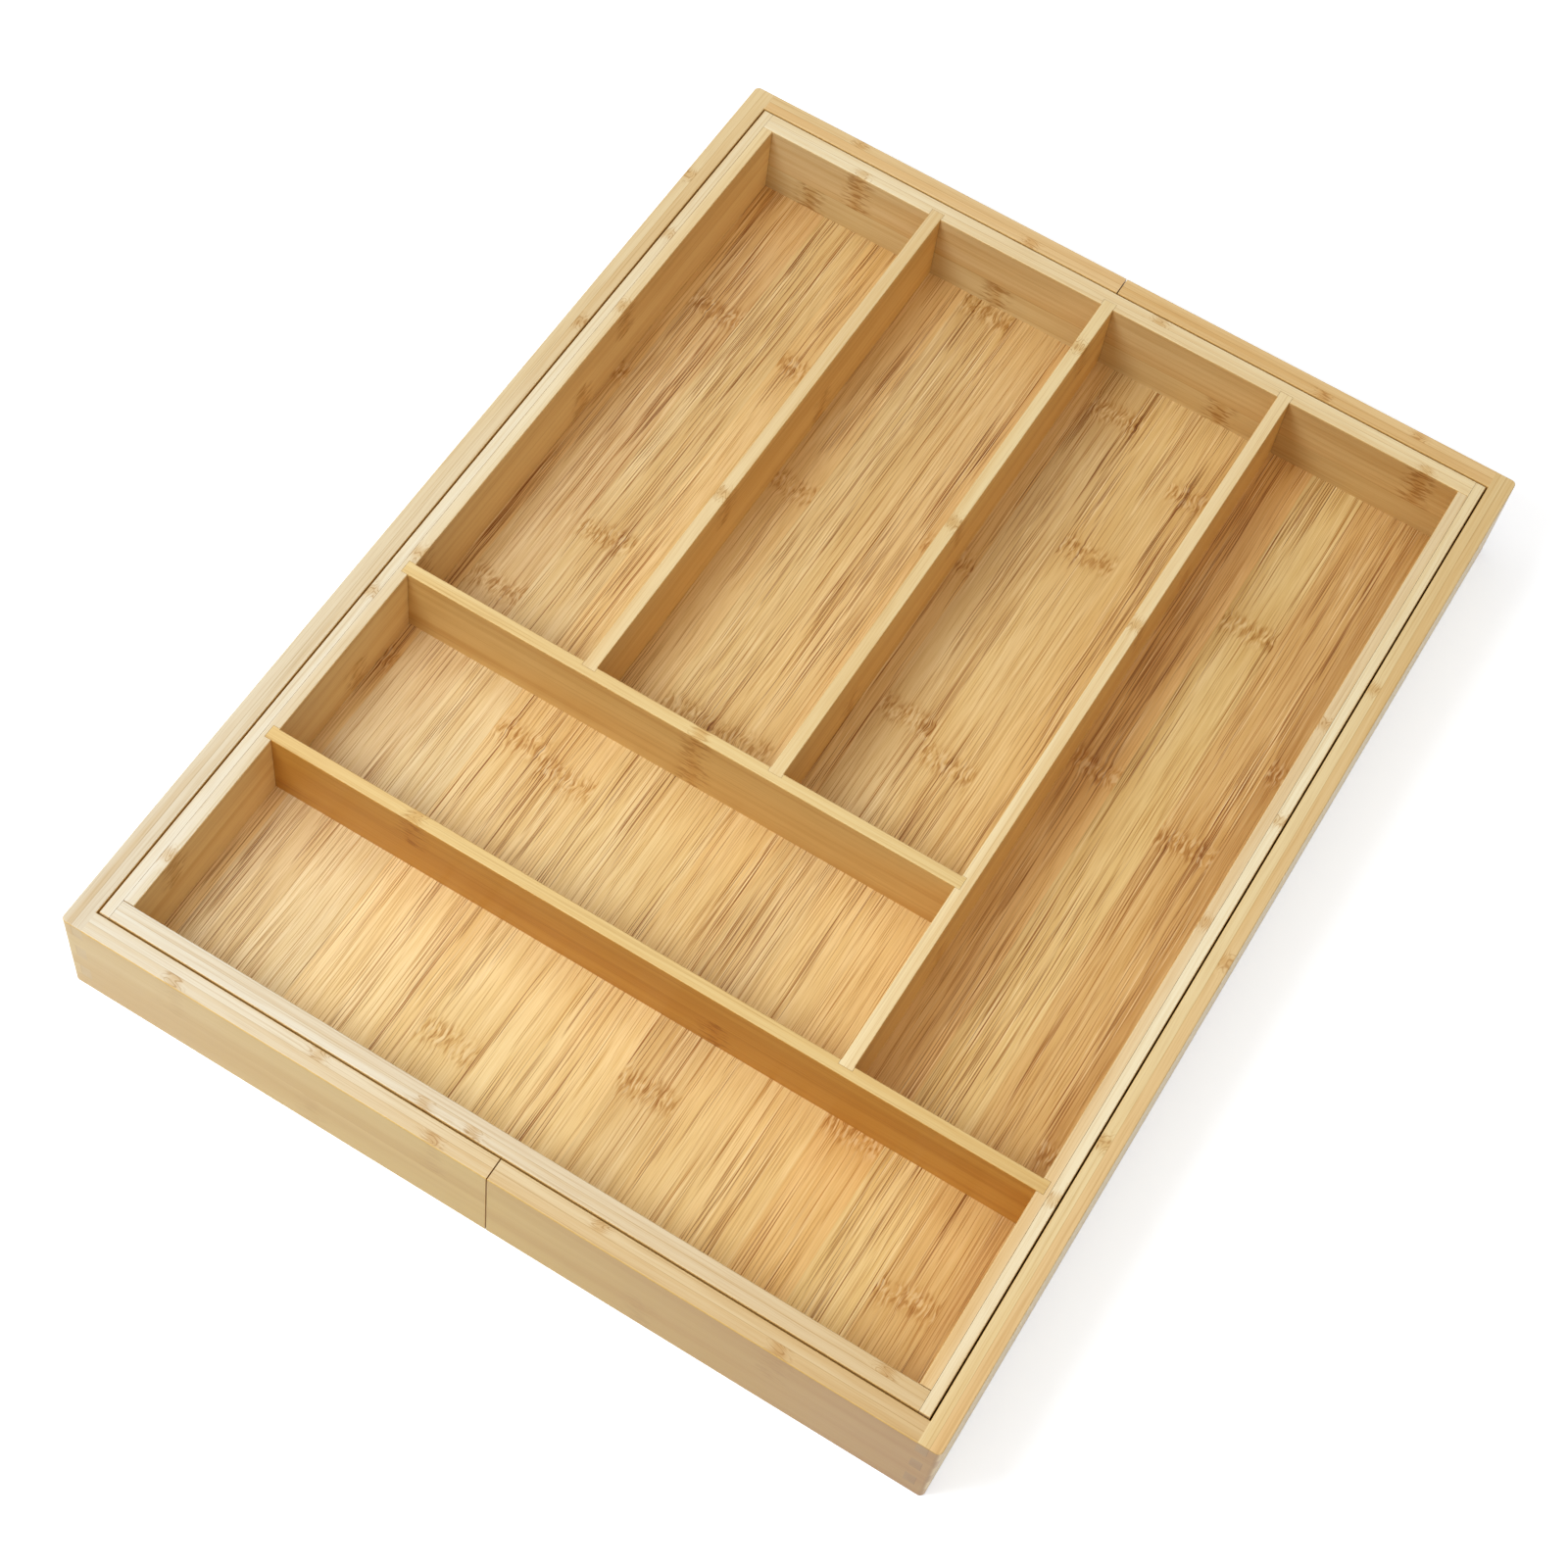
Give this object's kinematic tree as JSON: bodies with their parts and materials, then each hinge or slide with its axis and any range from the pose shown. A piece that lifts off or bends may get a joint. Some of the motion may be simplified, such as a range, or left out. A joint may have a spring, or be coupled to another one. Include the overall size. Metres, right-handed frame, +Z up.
{
  "type": "expandable cutlery tray",
  "caption": "Low bamboo drawer tray with cutlery compartments, set in two finger-jointed side trays that slide out to widen it.",
  "frame": {"origin": "middle of the closed tray's footprint, on the surface that it stands on", "axes": "+Z up, +Y from the front (the full-width compartment) to the back, +X to the right, where the long compartment is"},
  "size_m": [0.34, 0.45, 0.045],
  "materials": {
    "wing_rail_bamboo": "satin lacquer",
    "main_frame_bamboo": "satin lacquer",
    "divider_bamboo": "satin lacquer",
    "main_floor_bamboo": "satin lacquer",
    "wing_floor_bamboo": "satin lacquer",
    "guide_bamboo": "bare, waxed"
  },
  "bodies": {
    "main_tray": {"main_floor": "main_floor_bamboo", "main_front_rail": "main_frame_bamboo", "main_back_rail": "main_frame_bamboo", "main_left_board": "main_frame_bamboo", "main_right_board": "main_frame_bamboo", "main_left_liner": "main_frame_bamboo", "main_right_liner": "main_frame_bamboo", "front_cross_divider": "divider_bamboo", "middle_cross_divider": "divider_bamboo", "column_divider_1": "divider_bamboo", "column_divider_2": "divider_bamboo", "long_column_divider": "divider_bamboo"},
    "left_wing": {"left_side_rail": "wing_rail_bamboo", "left_front_rail": "wing_rail_bamboo", "left_back_rail": "wing_rail_bamboo", "left_floor": "wing_floor_bamboo", "left_front_guide": "guide_bamboo", "left_back_guide": "guide_bamboo"},
    "right_wing": {"right_side_rail": "wing_rail_bamboo", "right_front_rail": "wing_rail_bamboo", "right_back_rail": "wing_rail_bamboo", "right_floor": "wing_floor_bamboo", "right_front_guide": "guide_bamboo", "right_back_guide": "guide_bamboo"}
  },
  "joints": [
    {"name": "left_wing_slide", "type": "slide", "parent": "main_tray", "child": "left_wing", "axis": [-1, 0, 0], "range_m": [0, 0.09]},
    {"name": "right_wing_slide", "type": "slide", "parent": "main_tray", "child": "right_wing", "axis": [1, 0, 0], "range_m": [0, 0.09]}
  ]
}
